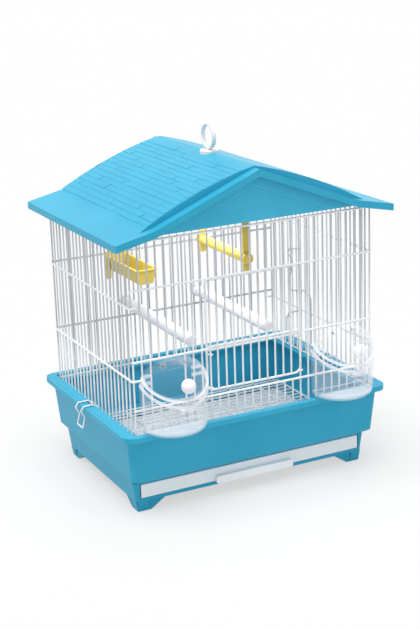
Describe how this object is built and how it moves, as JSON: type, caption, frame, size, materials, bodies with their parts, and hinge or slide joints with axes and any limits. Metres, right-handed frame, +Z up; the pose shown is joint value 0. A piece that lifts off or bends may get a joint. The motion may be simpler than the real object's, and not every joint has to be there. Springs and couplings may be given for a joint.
{
  "type": "bird cage",
  "caption": "Small wire bird cage on a plastic tray with a gable roof, drawer, sliding door, feeding cups, perches, swing and hanging ring.",
  "frame": {"origin": "on the ground under the middle of the wire body", "axes": "+X to the right along the front, +Y to the back, +Z up"},
  "size_m": [0.3462, 0.2964, 0.4113],
  "materials": {
    "blue_plastic": "light blue moulded plastic",
    "white_wire": "white coated wire",
    "white_plastic": "white moulded plastic",
    "yellow_plastic": "yellow moulded plastic",
    "clear_plastic": "clear plastic",
    "frosted_plastic": "frosted plastic"
  },
  "bodies": {
    "cage": {"base_tray": "blue_plastic", "floor_grille": "white_wire", "front_wire_panel": "white_wire", "back_wire_panel": "white_wire", "left_wire_panel": "white_wire", "right_wire_panel": "white_wire", "roof_shell": "blue_plastic", "front_gable": "blue_plastic", "back_gable": "blue_plastic", "ring_base": "white_plastic", "swing_hanger_front": "white_plastic", "swing_hanger_back": "white_plastic", "left_perch": "white_plastic", "right_perch": "white_plastic", "left_perch_nut": "white_plastic", "right_perch_nut": "white_plastic", "wire_holder": "white_wire"},
    "drawer": {"drawer": "white_plastic"},
    "door": {"front_door": "white_wire"},
    "ring": {"hanging_ring": "white_plastic", "ring_retainer": "white_plastic"},
    "swing": {"swing_frame": "yellow_plastic", "swing_bar": "yellow_plastic"},
    "trough": {"trough_feeder": "yellow_plastic"},
    "cup_left": {"left_cup": "clear_plastic"},
    "cup_right": {"right_cup": "clear_plastic"},
    "hood_left": {"left_hood": "clear_plastic", "left_hood_knob": "white_plastic"},
    "hood_right": {"right_hood": "clear_plastic", "right_hood_knob": "frosted_plastic"},
    "clip_left": {"left_side_clip": "white_wire"},
    "clip_right": {"right_side_clip": "white_wire"}
  },
  "joints": [
    {"name": "drawer_slide", "type": "slide", "parent": "cage", "child": "drawer", "axis": [0, -1, 0], "range_m": [0, 0.17]},
    {"name": "door_slide", "type": "slide", "parent": "cage", "child": "door", "axis": [0, 0, 1], "range_m": [0, 0.078]},
    {"name": "ring_turn", "type": "hinge", "parent": "cage", "child": "ring", "pos_m": [0, -0.013, 0.39], "axis": [0, 0, 1], "continuous": true},
    {"name": "swing_pivot", "type": "hinge", "parent": "cage", "child": "swing", "pos_m": [0, -0.042, 0.357], "axis": [0, 1, 0], "range_deg": [-22, 22]},
    {"name": "trough_lift", "type": "slide", "parent": "cage", "child": "trough", "axis": [0, 0, 1], "range_m": [0, 0.012]},
    {"name": "left_cup_lift", "type": "slide", "parent": "cage", "child": "cup_left", "axis": [0, 0, 1], "range_m": [0, 0.012]},
    {"name": "right_cup_lift", "type": "slide", "parent": "cage", "child": "cup_right", "axis": [0, 0, 1], "range_m": [0, 0.012]},
    {"name": "left_hood_hinge", "type": "hinge", "parent": "cup_left", "child": "hood_left", "pos_m": [-0.107, -0.1218, 0.1753], "axis": [-1, 0, 0], "range_deg": [0, 60]},
    {"name": "right_hood_hinge", "type": "hinge", "parent": "cup_right", "child": "hood_right", "pos_m": [0.107, -0.1218, 0.1753], "axis": [-1, 0, 0], "range_deg": [0, 60]},
    {"name": "left_clip_hinge", "type": "hinge", "parent": "cage", "child": "clip_left", "pos_m": [-0.1525, 0, 0.0959], "axis": [0, 1, 0], "range_deg": [0, 80]},
    {"name": "right_clip_hinge", "type": "hinge", "parent": "cage", "child": "clip_right", "pos_m": [0.1525, 0, 0.0959], "axis": [0, -1, 0], "range_deg": [0, 80]}
  ]
}
